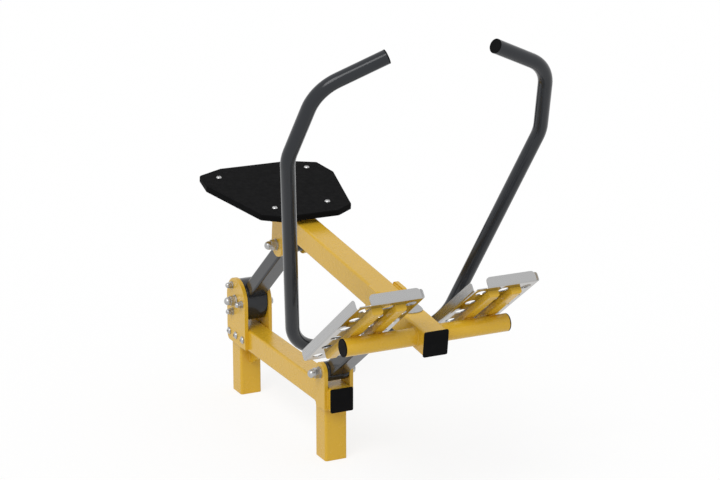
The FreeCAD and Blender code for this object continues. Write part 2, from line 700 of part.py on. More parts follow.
def name_plate():
    u = (NAME_PLATE_FRONT_U - NAME_PLATE_LENGTH, NAME_PLATE_FRONT_U)
    plate = block(u, (-NAME_PLATE_HALF, NAME_PLATE_HALF), (HALF, HALF + NAME_PLATE))
    plate = plate.makeFillet(NAME_PLATE_CORNER, edges_along(plate, Vector(0.0, 0.0, 1.0)))
    nodes["name_plate"] = placed(plate, SEAT_FRAME)


# Foot rest

def cross_tube():
    half = CROSS_TUBE_HALF - ROUND_CAP
    pipe = ring(CROSS_TUBE_RADIUS, CROSS_TUBE_RADIUS - CROSS_TUBE_WALL, (-half, half))
    nodes["cross_tube"] = placed(pipe, FOOT_FRAME)
    cap = round_cap(CROSS_TUBE_RADIUS, CROSS_TUBE_WALL)
    caps = [on_side(cap, side, 0.0, half, 0.0) for _, side in SIDES]
    nodes["cross_tube_caps"] = placed(Part.makeCompound(caps), FOOT_FRAME)


def foot_middles():
    middle = FOOT_INNER_Y + FOOT_WIDTH / 2.0
    return [(name, side * middle) for name, side in SIDES]


def foot_bar_rows(middle):
    # Midway between the columns of tread holes
    return [middle + step * TREAD_COLUMN_PITCH / 2.0 for step in (-1.0, 1.0)]


def foot_bolt_spots(rows):
    middle = (FOOT_TOE - FOOT_HEEL) / 2.0
    return [(middle + step * FOOT_BOLT_HALF_PITCH, y) for y in rows for step in (-1.0, 1.0)]


def folded(outside, inside, fold):
    # A bent sheet: what lies between two blocks whose lower edges along the fold are rounded.
    outer = edges_along(outside, fold, lambda at: at.z < FOOT_LIFT + TOUCH and at.x > -FOOT_HEEL + TOUCH)
    inner = edges_along(inside, fold, lambda at: at.z < FOOT_LIFT + FOOT_SHEET + TOUCH and at.x > -FOOT_HEEL)
    outside = outside.makeFillet(FOOT_BEND + FOOT_SHEET, outer)
    return outside.cut(inside.makeFillet(FOOT_BEND, inner))


def sides_folded():
    edge = FOOT_WIDTH / 2.0
    room = edge - FOOT_SHEET
    top = FOOT_LIFT + SIDE_FLANGE
    outside = block((-FOOT_HEEL, FOOT_TOE - LEFT_FLANGE_SETBACK), (-edge, edge), (FOOT_LIFT, top))
    inside = block((-OVERSIZE, OVERSIZE), (-room, room), (FOOT_LIFT + FOOT_SHEET, OVERSIZE))
    shape = folded(outside, inside, AXIS_X)
    bend = FOOT_BEND + FOOT_SHEET
    shape = shape.cut(block((FOOT_TOE - RIGHT_FLANGE_SETBACK, OVERSIZE), (-OVERSIZE, bend - edge), (0.0, OVERSIZE)))
    return shape.makeFillet(FLANGE_CORNER, edges_along(shape, AXIS_Y, lambda at: at.z > top - TOUCH))


def toe_folded():
    edge = FOOT_WIDTH / 2.0
    top = FOOT_LIFT + TOE_FLANGE
    outside = block((-FOOT_HEEL, FOOT_TOE), (TOE_FLANGE_INSET - edge, edge - TOE_FLANGE_GAP), (FOOT_LIFT, top))
    room = (-OVERSIZE, FOOT_TOE - FOOT_SHEET)
    inside = block(room, (-OVERSIZE, OVERSIZE), (FOOT_LIFT + FOOT_SHEET, OVERSIZE))
    shape = folded(outside, inside, AXIS_Y)
    return shape.makeFillet(FLANGE_CORNER, edges_along(shape, AXIS_X, lambda at: at.z > top - TOUCH))


def tread_spots():
    middle = (FOOT_TOE - FOOT_HEEL) / 2.0
    spots = []
    for row in range(TREAD_ROWS):
        s = middle + (row - (TREAD_ROWS - 1) / 2.0) * TREAD_ROW_PITCH
        for column in range(TREAD_COLUMNS):
            spots.append((s, (column - (TREAD_COLUMNS - 1) / 2.0) * TREAD_COLUMN_PITCH))
    return spots


def foot_plate():
    bend = FOOT_BEND + FOOT_SHEET
    flat = FOOT_WIDTH / 2.0 - bend
    sheet_top = FOOT_LIFT + FOOT_SHEET
    shape = block((-FOOT_HEEL, FOOT_TOE - bend), (-flat, flat), (FOOT_LIFT, sheet_top))
    shape = shape.fuse([sides_folded(), toe_folded()]).removeSplitter()
    crown = TREAD_HOLE_RADIUS + TREAD_RIM / 2.0
    rims, holes = [], []
    for s, y in tread_spots():
        foot = Vector(s, y, sheet_top)
        rims.append(Part.makeCone(TREAD_HOLE_RADIUS + TREAD_RIM, crown, TREAD_RIM_HEIGHT, foot))
        holes.append(Part.makeCylinder(TREAD_HOLE_RADIUS, OVERSIZE, Vector(s, y, 0.0)))
    shape = shape.fuse(rims).cut(Part.makeCompound(holes))
    return bored(shape, M8, foot_bolt_spots(foot_bar_rows(0.0))).removeSplitter()


def foot_bar(y):
    # Lies along the underside of a tread plate, saddled on the cross tube and tapped from above.
    half = FOOT_BAR_WIDTH / 2.0
    level = FOOT_LIFT - FOOT_BAR
    flat = block((FOOT_BAR_REAR, FOOT_BAR_FRONT), (y - half, y + half), (level, FOOT_LIFT))
    rim = [edge for edge in flat.Edges if edge.BoundBox.ZMax < level + TOUCH]
    flat = flat.makeFillet(FOOT_BAR_EDGE, rim)
    for s, _ in foot_bolt_spots([y]):
        tap = Vector(s, y, level + TAP_FLOOR)
        flat = flat.cut(Part.makeCylinder(M8.shank + THREAD_CLEARANCE, FOOT_BAR - TAP_FLOOR, tap))
    return flat.cut(rod(CROSS_TUBE_RADIUS, (-OVERSIZE, OVERSIZE)))


def foot_rest():
    cross_tube()
    plate = foot_plate()
    for name, y in foot_middles():
        nodes["foot_plate_" + name] = placed(shifted(plate, 0.0, y, 0.0), FOOT_FRAME)
    rows = [y for _, middle in foot_middles() for y in foot_bar_rows(middle)]
    nodes["foot_plate_bars"] = placed(Part.makeCompound([foot_bar(y) for y in rows]), FOOT_FRAME)
    grip = FOOT_SHEET + FOOT_BAR - TAP_FLOOR - TAP_END_GAP
    seat_level = FOOT_LIFT + FOOT_SHEET
    bolts = [on_top(button_bolt(M8, grip), s, y, seat_level) for s, y in foot_bolt_spots(rows)]
    nodes["foot_plate_bolts"] = placed(Part.makeCompound(bolts), FOOT_FRAME)


def bolt_sleeve_sets():
    nodes["base_pivot_sleeves"] = Part.makeCompound(bolt_sleeves(REAR_PIVOT) + bolt_sleeves(FRONT_PIVOT))
    nodes["front_clevis_sleeves"] = Part.makeCompound(bolt_sleeves(FRONT_LINK))


def main():
    base_frame()
    pivot_plates()
    base_fasteners()
    stop_buffers()
    rear_arm()
    front_arm()
    handlebars()
    seat_beam()
    seat()
    name_plate()
    foot_rest()
    bolt_sleeve_sets()
    os.makedirs("parts", exist_ok=True)
    for name, shape in nodes.items():
        if not shape.isValid():
            raise ValueError(name + " is not a valid shape")
        shape.exportStep("parts/" + name + ".step")
        print(name, len(shape.Solids), "solids", round(shape.Volume / 1000.0, 1), "cm3")
    print("pivots", REAR_PIVOT, FRONT_PIVOT, REAR_LINK, FRONT_LINK)


main()
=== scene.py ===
# Outdoor rowing machine: a seat carriage on two swing arms over a base that is fixed to the ground.
# Lengths are in metres: +X is forward, the way the rower faces, +Z is up and the rower's left is +Y.

import json
import math

import bmesh
import bpy
from bpy.props import FloatProperty, FloatVectorProperty, IntProperty, PointerProperty
from bpy.types import Operator, Panel, PropertyGroup
from mathutils import Matrix, Vector


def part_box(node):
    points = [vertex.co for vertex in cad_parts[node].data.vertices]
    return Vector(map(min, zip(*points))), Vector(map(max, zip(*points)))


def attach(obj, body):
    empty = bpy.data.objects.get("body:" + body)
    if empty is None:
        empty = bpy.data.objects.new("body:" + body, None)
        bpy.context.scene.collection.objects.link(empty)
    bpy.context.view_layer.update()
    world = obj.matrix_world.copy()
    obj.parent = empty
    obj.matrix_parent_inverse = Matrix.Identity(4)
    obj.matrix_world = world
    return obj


bl_info = {
    "name": "Outdoor rowing machine",
    "version": (1, 0, 0),
    "blender": (4, 5, 0),
    "location": "View3D > Sidebar > Rowing machine",
    "description": "Paints and dresses an outdoor rowing machine and sets it in a pale studio",
    "category": "Object",
}

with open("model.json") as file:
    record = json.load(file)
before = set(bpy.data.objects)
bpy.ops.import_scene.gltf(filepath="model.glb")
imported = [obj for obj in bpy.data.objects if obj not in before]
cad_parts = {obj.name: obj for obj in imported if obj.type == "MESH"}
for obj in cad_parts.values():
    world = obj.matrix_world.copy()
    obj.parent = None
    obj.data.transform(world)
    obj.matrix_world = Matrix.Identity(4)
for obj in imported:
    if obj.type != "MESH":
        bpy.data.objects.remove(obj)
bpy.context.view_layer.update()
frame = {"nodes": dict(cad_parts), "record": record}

AXIS_X = Vector((1.0, 0.0, 0.0))
AXIS_Y = Vector((0.0, 1.0, 0.0))
SIDES = (-1.0, 1.0)
FULL_TURN = 2.0 * math.pi

# The seat beam's own frame: u runs forward along it, y across and w square to both, from its front end
BEAM_END = Vector((1.102, 0.0, 0.472))
SEAT_SLOPE = math.radians(6.77)
SEAT_FRAME = Matrix.Translation(BEAM_END) @ Matrix.Rotation(SEAT_SLOPE, 4, "Y")
CROSS_TUBE_U = -0.051
CROSS_TUBE = SEAT_FRAME @ Vector((CROSS_TUBE_U, 0.0, 0.0))

# The foot rest's own frame: s runs up its slope, y across and h square to both, from the cross tube
FOOT_TO_BEAM = math.radians(43.3)
FOOT_SLOPE = FOOT_TO_BEAM - SEAT_SLOPE
FOOT_FRAME = Matrix.Translation(CROSS_TUBE) @ Matrix.Rotation(-FOOT_SLOPE, 4, "Y")
FOOT_LIFT = 0.0355

# Sizes and places on the solids that the weld beads follow
TUBE_HALF = 0.03
TUBE_CORNER = 0.007
GUSSET_LENGTH = 0.076
ARM_HALF_WIDTH = 0.025
ARM_HALF_DEPTH = 0.02
HANDLE_ROOT = 0.234
HANDLE_ROOT_Y = 0.0252
HANDLE_RADIUS = 0.01685
CLEVIS_BEAD_W = (-0.023, 0.024)
CLEVIS_BEAD_IN = 0.0008
CLEVIS_BEAD_DOWN = 0.0004
CLEVIS_ROUNDING = 0.008
RISER_EDGES = (-0.952, -0.928, -0.75, -0.726)
RISER_BEAD_HALF = 0.024
CROSS_TUBE_RADIUS = 0.0212
FOOT_BAR_ROWS = (-0.175, -0.117, 0.117, 0.175)
FOOT_BAR_BEAD_HALF = 0.009
FOOT_BAR_BEAD_S = 0.0075
FOOT_BAR_BEAD_H = 0.0199

# Each pair of clevis plates: its place along the seat beam and half its width
CLEVIS_PLATES = ((-0.798, 0.032), (-0.254, 0.03))

# Weld beads: room left at their ends, the distance at which the rings of a closed one merge, and the
# share of the full width at an open end, next to it and at every second ring
BEAD_ROOM = 0.004
BEAD_MERGE = 2e-5
BEAD_RUN_OUT = (0.4, 0.82)
BEAD_RIPPLE = 0.86

# The studio: its floor, where the key lamp shines from, and the place and axes of the camera
FLOOR_MIDDLE = (0.5, 0.0, -0.0005)
FLOOR_HALF = 20.0
FLOOR_WHITE = 1.1
FLOOR_WHITE_SHARE = 0.7
KEY_FROM = Vector((0.48, -0.52, 0.71))
KEY_DISTANCE = 5.0
SENSOR_WIDTH = 36.0
CAMERA_PLACE = (5.3116, -2.2429, 2.1031)
CAMERA_RIGHT = Vector((0.438, 0.899, 0.0))
CAMERA_UP = Vector((-0.2511, 0.1223, 0.9601))
CAMERA_BACK = Vector((0.8631, -0.4206, 0.2793))


# Settings that a user may change

class RowerColours(PropertyGroup):
    """Colours of the finishes, in linear light"""
    yellow: FloatVectorProperty(
        name="Yellow paint", description="Powder coat of the frame", subtype="COLOR",
        size=3, min=0.0, max=1.0, default=(0.69, 0.415, 0.026))
    yellow_shade: FloatVectorProperty(
        name="Yellow paint, thinner", description="Powder coat where it is a little thinner", subtype="COLOR",
        size=3, min=0.0, max=1.0, default=(0.668, 0.4, 0.0243))
    grey: FloatVectorProperty(
        name="Dark grey paint", description="Powder coat of the arms and handlebars", subtype="COLOR",
        size=3, min=0.0, max=1.0, default=(0.0182, 0.0207, 0.0255))
    steel: FloatVectorProperty(
        name="Satin steel", description="Foot plates' upper side and the bare name plate", subtype="COLOR",
        size=3, min=0.0, max=1.0, default=(0.45, 0.45, 0.45))
    polished: FloatVectorProperty(
        name="Polished steel", description="Foot plates' bright underside", subtype="COLOR",
        size=3, min=0.0, max=1.0, default=(0.45, 0.44, 0.425))
    fastener: FloatVectorProperty(
        name="Stainless fasteners", description="Bolts, nuts and washers", subtype="COLOR",
        size=3, min=0.0, max=1.0, default=(0.5, 0.5, 0.5))
    black: FloatVectorProperty(
        name="Black plastic", description="Tube plugs and the seat board", subtype="COLOR",
        size=3, min=0.0, max=1.0, default=(0.0058, 0.0058, 0.0062))


class RowerSizes(PropertyGroup):
    """Sizes of the weld beads"""
    bead_width: FloatProperty(
        name="Bead width", description="Width across a weld bead", subtype="DISTANCE", unit="LENGTH",
        min=0.002, max=0.012, default=0.0052)
    bead_pitch: FloatProperty(
        name="Ripple pitch", description="Length of one ripple of a weld bead", subtype="DISTANCE",
        unit="LENGTH", min=0.001, max=0.01, default=0.0026)
    bead_sides: IntProperty(
        name="Bead sides", description="Number of faces round a weld bead", min=6, max=16, default=8)


class RowerStudio(PropertyGroup):
    """Light, floor and lens"""
    sky: FloatProperty(
        name="Sky light", description="Strength of the even light on the object", min=0.0, max=2.0,
        default=0.66)
    key: FloatProperty(
        name="Key light", description="Strength of the soft lamp from the rower's right", min=0.0, max=5.0,
        default=1.3)
    key_spread: FloatProperty(
        name="Key spread", description="Angle that the soft lamp fills", subtype="ANGLE", unit="ROTATION",
        min=0.0, max=math.pi, default=math.radians(35.0))
    floor: FloatVectorProperty(
        name="Floor", description="Colour of the studio floor", subtype="COLOR",
        size=3, min=0.0, max=1.0, default=(0.8, 0.8, 0.8))
    lens: FloatProperty(
        name="Lens", description="Focal length on a 36 mm wide sensor", subtype="DISTANCE_CAMERA",
        min=10.0, max=300.0, default=111.31)


# Shader building blocks

class Finish:
    """A new material with its shader and Object coordinates, and the nodes that are added to it."""

    def __init__(self, name, middle=(0.0, 0.0, 0.0), turn=(0.0, 0.0, 0.0), stretch=(1.0, 1.0, 1.0)):
        self.material = bpy.data.materials.new(name)
        self.material.use_nodes = True
        self.tree = self.material.node_tree
        self.shader = self.tree.nodes["Principled BSDF"]
        place = self.tree.nodes.new("ShaderNodeTexCoord")
        mapping = self.tree.nodes.new("ShaderNodeMapping")
        mapping.vector_type = "TEXTURE"
        mapping.inputs["Location"].default_value = middle
        mapping.inputs["Rotation"].default_value = turn
        mapping.inputs["Scale"].default_value = stretch
        self.join(place.outputs["Object"], mapping.inputs["Vector"])
        self.place = mapping.outputs["Vector"]
        self.normal = None

    def join(self, output, socket):
        self.tree.links.new(output, socket)

    def set(self, **values):
        for name, value in values.items():
            self.shader.inputs[name.replace("_", " ")].default_value = value

    def noise(self, scale, detail=2.0, roughness=0.5):
        node = self.tree.nodes.new("ShaderNodeTexNoise")
        node.inputs["Scale"].default_value = scale
        node.inputs["Detail"].default_value = detail
        node.inputs["Roughness"].default_value = roughness
        self.join(self.place, node.inputs["Vector"])
        return node.outputs["Fac"]

    def height(self):
        node = self.tree.nodes.new("ShaderNodeSeparateXYZ")
        self.join(self.place, node.inputs["Vector"])
        return node.outputs["Z"]

    def between(self, value, low, high, span=(0.3, 0.7)):
        node = self.tree.nodes.new("ShaderNodeMapRange")
        node.inputs["From Min"].default_value = span[0]
        node.inputs["From Max"].default_value = span[1]
        node.inputs["To Min"].default_value = low
        node.inputs["To Max"].default_value = high
        self.join(value, node.inputs["Value"])
        return node.outputs["Result"]

    def mix(self, kind, share, first, second):
        """Mix two colours (RGBA) or two numbers (VALUE), each written out or taken from another node."""
        node = self.tree.nodes.new("ShaderNodeMix")
        node.data_type = "RGBA" if kind == "RGBA" else "FLOAT"
        sockets = [socket for socket in node.inputs if socket.type == kind and socket.name in ("A", "B")]
        for socket, value in zip(sockets, (first, second)):
            if isinstance(value, bpy.types.NodeSocket):
                self.join(value, socket)
            else:
                socket.default_value = value
        factor = next(socket for socket in node.inputs if socket.name == "Factor" and socket.type == "VALUE")
        self.join(share, factor)
        return next(socket for socket in node.outputs if socket.type == kind)

    def shades(self, value, first, second):
        return self.mix("RGBA", self.between(value, 0.0, 1.0), (*first, 1.0), (*second, 1.0))

    def colours(self, value, first, second):
        self.join(self.shades(value, first, second), self.shader.inputs["Base Color"])

    def dull(self, value, roughness):
        self.join(self.between(value, *roughness), self.shader.inputs["Roughness"])

    def bump(self, value, height, strength):
        node = self.tree.nodes.new("ShaderNodeBump")
        node.inputs["Distance"].default_value = height
        node.inputs["Strength"].default_value = strength
        self.join(value, node.inputs["Height"])
        if self.normal:
            self.join(self.normal, node.inputs["Normal"])
        self.normal = node.outputs["Normal"]
        self.join(self.normal, self.shader.inputs["Normal"])


def darker(colour, share):
    return tuple(channel * share for channel in colour)


def powder_coat(name, colour, shade, roughness, gloss):
    """Sprayed and baked paint: two close shades, uneven gloss and a fine orange-peel skin."""
    finish = Finish(name)
    finish.set(IOR=1.5, Specular_IOR_Level=gloss)
    finish.colours(finish.noise(scale=7.0, detail=4.0, roughness=0.55), colour, shade)
    finish.dull(finish.noise(scale=55.0, detail=3.0), roughness)
    finish.bump(finish.noise(scale=420.0), height=0.0002, strength=0.07)
    finish.bump(finish.noise(scale=1400.0, detail=1.0), height=0.0001, strength=0.05)
    return finish.material


def rolled_steel(name, colour, polished):
    """Sheet with the mill's fine streaks along the foot plates' slope, satin but for their underside."""
    squeeze = 0.04
    bright_up_to = FOOT_LIFT + 0.0008
    satin_from = FOOT_LIFT + 0.0012
    finish = Finish(name, CROSS_TUBE, (0.0, -FOOT_SLOPE, 0.0), (1.0, squeeze, squeeze))
    finish.set(Metallic=1.0)
    streaks = finish.noise(scale=26.0, detail=4.0, roughness=0.6)
    smudges = finish.noise(scale=9.0, detail=3.0)
    upper = finish.between(finish.height(), 0.0, 1.0, (bright_up_to / squeeze, satin_from / squeeze))
    satin = finish.shades(streaks, colour, darker(colour, 0.95))
    bright = finish.shades(streaks, polished, darker(polished, 0.93))
    finish.join(finish.mix("RGBA", upper, bright, satin), finish.shader.inputs["Base Color"])
    bright_dull = finish.between(smudges, 0.06, 0.12)
    satin_dull = finish.between(smudges, 0.24, 0.32)
    finish.join(finish.mix("VALUE", upper, bright_dull, satin_dull), finish.shader.inputs["Roughness"])
    finish.bump(streaks, height=0.0002, strength=0.01)
    return finish.material


def turned_steel(name, colour, roughness):
    """Stainless or ground steel with fine tool marks."""
    finish = Finish(name)
    finish.set(Metallic=1.0)
    finish.colours(finish.noise(scale=160.0, detail=3.0), colour, darker(colour, 0.82))
    finish.dull(finish.noise(scale=300.0), roughness)
    finish.bump(finish.noise(scale=900.0, detail=1.0), height=0.0001, strength=0.08)
    return finish.material


def moulded(name, colour, roughness, gloss, grain, height=0.0002):
    """Moulded plastic or rubber with a spark-eroded grain."""
    finish = Finish(name)
    finish.set(IOR=1.49, Specular_IOR_Level=gloss)
    finish.colours(finish.noise(scale=30.0, detail=3.0), colour, darker(colour, 0.8))
    finish.dull(finish.noise(scale=80.0), roughness)
    finish.bump(finish.noise(scale=grain, roughness=0.6), height, strength=0.3)
    return finish.material


def make_finishes(colours):
    """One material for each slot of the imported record."""
    yellow = tuple(colours.yellow)
    thinner = tuple(colours.yellow_shade)
    grey = tuple(colours.grey)
    steel = tuple(colours.steel)
    polished = tuple(colours.polished)
    fastener = tuple(colours.fastener)
    black = tuple(colours.black)
    rubber = tuple(1.8 * channel for channel in black)
    nylon = (0.62, 0.6, 0.53)
    return {
        "yellow_paint": powder_coat(
            "yellow powder coat", yellow, thinner, roughness=(0.22, 0.3), gloss=0.42),
        "dark_grey_paint": powder_coat(
            "dark grey powder coat", grey, darker(grey, 0.85), roughness=(0.13, 0.19), gloss=0.34),
        "bright_steel": rolled_steel("bright rolled steel", steel, polished),
        "stainless_fasteners": turned_steel("stainless fasteners", fastener, roughness=(0.3, 0.4)),
        "black_caps": moulded("black plug plastic", black, roughness=(0.5, 0.62), gloss=0.04, grain=900.0),
        "black_board": moulded("black board plastic", black, roughness=(0.6, 0.72), gloss=0.02, grain=520.0),
        "bearing_steel": turned_steel("ground bearing steel", darker(fastener, 0.95), roughness=(0.12, 0.2)),
        "stop_rubber": moulded("stop rubber", rubber, roughness=(0.65, 0.8), gloss=0.2, grain=700.0),
        "bush_nylon": moulded(
            "machined nylon", nylon, roughness=(0.35, 0.5), gloss=0.5, grain=800.0, height=0.0001),
    }


def finish_of(slot):
    return bpy.data.materials[bpy.context.scene["rower_finish_" + slot]]


# Weld beads

def bead_scale(count, steps, closed):
    """Share of the full width at a ring: every second one is narrower, and open ends run out."""
    ends = min(count, steps - count)
    if not closed and ends < len(BEAD_RUN_OUT):
        return BEAD_RUN_OUT[ends]
    return BEAD_RIPPLE if count % 2 else 1.0


def lay_bead(mesh, start, step, steps, closed=False):
    """Grow one rippled bead from a disc at start, by the step matrix; a closed one meets its own start."""
    sizes = bpy.context.scene.rower_sizes
    made = bmesh.ops.create_circle(
        mesh, cap_ends=True, segments=sizes.bead_sides, radius=sizes.bead_width / 2.0, matrix=start)
    ring = made["verts"]
    discs = [ring[0].link_faces[0]]
    middle = start.translation.copy()
    size = 1.0
    for count in range(steps + 1):
        if count:
            grown = bmesh.ops.extrude_face_region(mesh, geom=discs[-1:])["geom"]
            ring = [item for item in grown if isinstance(item, bmesh.types.BMVert)]
            discs.append(next(item for item in grown if isinstance(item, bmesh.types.BMFace)))
            bmesh.ops.transform(mesh, matrix=step, verts=ring)
            middle = step @ middle
        wanted = bead_scale(count, steps, closed)
        share = wanted / size
        bmesh.ops.scale(mesh, vec=(share, share, share), space=Matrix.Translation(-middle), verts=ring)
        size = wanted
    inside = discs if closed else discs[1:-1]
    bmesh.ops.delete(mesh, geom=inside, context="FACES_ONLY")


def bead_steps(length):
    """Two rings for each ripple, and a few on the shortest bead."""
    return max(4, 2 * round(length / bpy.context.scene.rower_sizes.bead_pitch))


def straight_bead(mesh, start, end):
    run = end - start
    steps = bead_steps(run.length)
    turn = run.to_track_quat("Z", "Y").to_matrix().to_4x4()
    lay_bead(mesh, Matrix.Translation(start) @ turn, Matrix.Translation(run / steps), steps)


def round_bead(mesh, centre, axis, start, angle):
    """A bead round an axis, from a point and through an angle; a full turn is closed on itself."""
    out = start - centre
    steps = bead_steps(abs(angle) * out.length)
    step = Matrix.Translation(centre) @ Matrix.Rotation(angle / steps, 4, axis) @ Matrix.Translation(-centre)
    heading = axis.cross(out) * math.copysign(1.0, angle)
    turn = heading.to_track_quat("Z", "Y").to_matrix().to_4x4()
    lay_bead(mesh, Matrix.Translation(start) @ turn, step, steps, closed=angle == FULL_TURN)


def weld_piece(name, body, slot, lay):
    """Make one piece of all the beads on a body, painted with it."""
    mesh = bmesh.new()
    lay(mesh)
    bmesh.ops.remove_doubles(mesh, verts=mesh.verts[:], dist=BEAD_MERGE)
    bmesh.ops.recalc_face_normals(mesh, faces=mesh.faces[:])
    for face in mesh.faces:
        face.smooth = True
    data = bpy.data.meshes.new(name)
    mesh.to_mesh(data)
    mesh.free()
    piece = bpy.data.objects.new(name, data)
    bpy.context.collection.objects.link(piece)
    piece.data.materials.append(finish_of(slot))
    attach(piece, body)


def joint_place(name):
    joints = frame["record"]["behaviour"]["joints"]
    return Vector(next(joint["pos_m"] for joint in joints if joint["name"] == name))


def arm_end_beads(mesh, pivot, other, radius):
    """Where a flat-sided arm meets a round housing: across its two faces and round its two sides."""
    side_room = 0.003
    along = (other - pivot).normalized()
    across = along.cross(AXIS_Y)
    reach = math.sqrt(radius ** 2 - ARM_HALF_DEPTH ** 2)
    edge = AXIS_Y * (ARM_HALF_WIDTH - BEAD_ROOM)
    for side in SIDES:
        foot = pivot + along * reach + across * (side * ARM_HALF_DEPTH)
        straight_bead(mesh, foot - edge, foot + edge)
    swing = math.asin((ARM_HALF_DEPTH - side_room) / radius)
    for side in SIDES:
        centre = pivot + AXIS_Y * (side * ARM_HALF_WIDTH)
        start = centre + Matrix.Rotation(swing, 3, AXIS_Y) @ (along * radius)
        round_bead(mesh, centre, AXIS_Y, start, -2.0 * swing)


def base_beads(mesh):
    """Along the legs' tops, both sides of the gussets and the front pivot plates' two upright edges."""
    gusset_tip_room = 0.002
    plate_foot_room = 0.006
    beam_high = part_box("base_beam")[1]
    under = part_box("base_beam")[0].z
    reach = beam_high.y - TUBE_CORNER
    gusset_low, gusset_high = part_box("leg_gussets")
    rear_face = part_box("rear_leg")[1].x
    front_low, front_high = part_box("front_leg")
    for x in (rear_face, front_low.x):
        for side in SIDES:
            inner = Vector((x, side * (gusset_high.y + BEAD_ROOM), under))
            straight_bead(mesh, inner, Vector((x, side * reach, under)))
    straight_bead(mesh, Vector((front_high.x, -reach, under)), Vector((front_high.x, reach, under)))
    for x, way in ((rear_face, 1.0), (front_low.x, -1.0)):
        for side in SIDES:
            y = side * gusset_high.y
            corner = Vector((x + way * BEAD_ROOM, y, under))
            straight_bead(mesh, corner, corner + AXIS_X * (way * (GUSSET_LENGTH - BEAD_ROOM)))
            upright_foot = Vector((x, y, gusset_low.z + gusset_tip_room))
            straight_bead(mesh, Vector((x, y, under - BEAD_ROOM)), upright_foot)
    plate_low, plate_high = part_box("front_pivot_plate_right")
    for side in SIDES:
        y = side * beam_high.y
        for x in (plate_low.x, plate_high.x):
            foot = Vector((x, y, plate_low.z + plate_foot_room))
            straight_bead(mesh, foot, Vector((x, y, beam_high.z - TUBE_CORNER)))


def rear_arm_beads(mesh):
    pivot = joint_place("rear_arm_swing")
    low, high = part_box("rear_arm_top_housing")
    top = (low + high) / 2.0
    drum_low, drum_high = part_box("rear_drum")
    arm_end_beads(mesh, pivot, top, (drum_high.x - drum_low.x) / 2.0)
    arm_end_beads(mesh, top, pivot, (high.x - low.x) / 2.0)


def front_arm_beads(mesh):
    pivot = joint_place("row_stroke")
    top = joint_place("seat_carriage_pivot")
    low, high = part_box("front_arm_top_housing")
    radius = (high.x - low.x) / 2.0
    arm_end_beads(mesh, pivot, top, radius)
    arm_end_beads(mesh, top, pivot, radius)
    root = pivot + (top - pivot).normalized() * HANDLE_ROOT
    for side in SIDES:
        centre = root + AXIS_Y * (side * HANDLE_ROOT_Y)
        round_bead(mesh, centre, AXIS_Y, centre + AXIS_X * HANDLE_RADIUS, FULL_TURN)


def on_beam(u, y, w):
    return SEAT_FRAME @ Vector((u, y, w))


def on_foot_rest(s, y, h):
    return FOOT_FRAME @ Vector((s, y, h))


def carriage_beads(mesh):
    """At the clevis plates, the seat risers, the cross tube and the bars under the foot plates."""
    low, high = CLEVIS_BEAD_W
    for u, radius in CLEVIS_PLATES:
        for side in SIDES:
            outer = side * TUBE_HALF
            for edge in (u - radius, u + radius):
                straight_bead(mesh, on_beam(edge, outer, low), on_beam(edge, outer, high))
            inner = side * (TUBE_HALF - CLEVIS_BEAD_IN)
            top = TUBE_HALF - CLEVIS_BEAD_DOWN
            reach = radius - CLEVIS_ROUNDING
            straight_bead(mesh, on_beam(u - reach, inner, top), on_beam(u + reach, inner, top))
    for u in RISER_EDGES:
        straight_bead(mesh, on_beam(u, -RISER_BEAD_HALF, TUBE_HALF), on_beam(u, RISER_BEAD_HALF, TUBE_HALF))
    for side in SIDES:
        centre = on_beam(CROSS_TUBE_U, side * TUBE_HALF, 0.0)
        round_bead(mesh, centre, AXIS_Y, centre + AXIS_X * CROSS_TUBE_RADIUS, FULL_TURN)
    for y in FOOT_BAR_ROWS:
        for s in (-FOOT_BAR_BEAD_S, FOOT_BAR_BEAD_S):
            near = on_foot_rest(s, y - FOOT_BAR_BEAD_HALF, FOOT_BAR_BEAD_H)
            straight_bead(mesh, near, on_foot_rest(s, y + FOOT_BAR_BEAD_HALF, FOOT_BAR_BEAD_H))


# Operators

class ROWER_OT_finishes(Operator):
    """Give every solid the finish of its material slot"""
    bl_idname = "rower.finishes"
    bl_label = "Finishes"
    bl_options = {"REGISTER", "UNDO"}

    def execute(self, context):
        colours = context.scene.rower_colours
        finishes = make_finishes(colours)
        for slot, material in finishes.items():
            context.scene["rower_finish_" + slot] = material.name
        bare_plate = turned_steel("bare name plate", tuple(colours.steel), roughness=(0.4, 0.5))
        for part in frame["record"]["subparts"]:
            node = part["node"]
            materials = frame["nodes"][node].data.materials
            materials.clear()
            materials.append(bare_plate if node == "name_plate" else finishes[part["material_slot"]])
        return {"FINISHED"}


class ROWER_OT_base_welds(Operator):
    """Lay the weld beads of the legs, gussets and front pivot plates"""
    bl_idname = "rower.base_welds"
    bl_label = "Base welds"
    bl_options = {"REGISTER", "UNDO"}

    def execute(self, context):
        weld_piece("base_welds", "base", "yellow_paint", base_beads)
        return {"FINISHED"}


class ROWER_OT_arm_welds(Operator):
    """Lay the weld beads of the two swing arms and of the handlebars' roots"""
    bl_idname = "rower.arm_welds"
    bl_label = "Arm welds"
    bl_options = {"REGISTER", "UNDO"}

    def execute(self, context):
        weld_piece("rear_arm_welds", "rear_arm", "dark_grey_paint", rear_arm_beads)
        weld_piece("front_arm_welds", "front_arm", "dark_grey_paint", front_arm_beads)
        return {"FINISHED"}


class ROWER_OT_carriage_welds(Operator):
    """Lay the weld beads of the clevis plates, seat risers, cross tube and foot bars"""
    bl_idname = "rower.carriage_welds"
    bl_label = "Carriage welds"
    bl_options = {"REGISTER", "UNDO"}

    def execute(self, context):
        weld_piece("carriage_welds", "seat_carriage", "yellow_paint", carriage_beads)
        return {"FINISHED"}


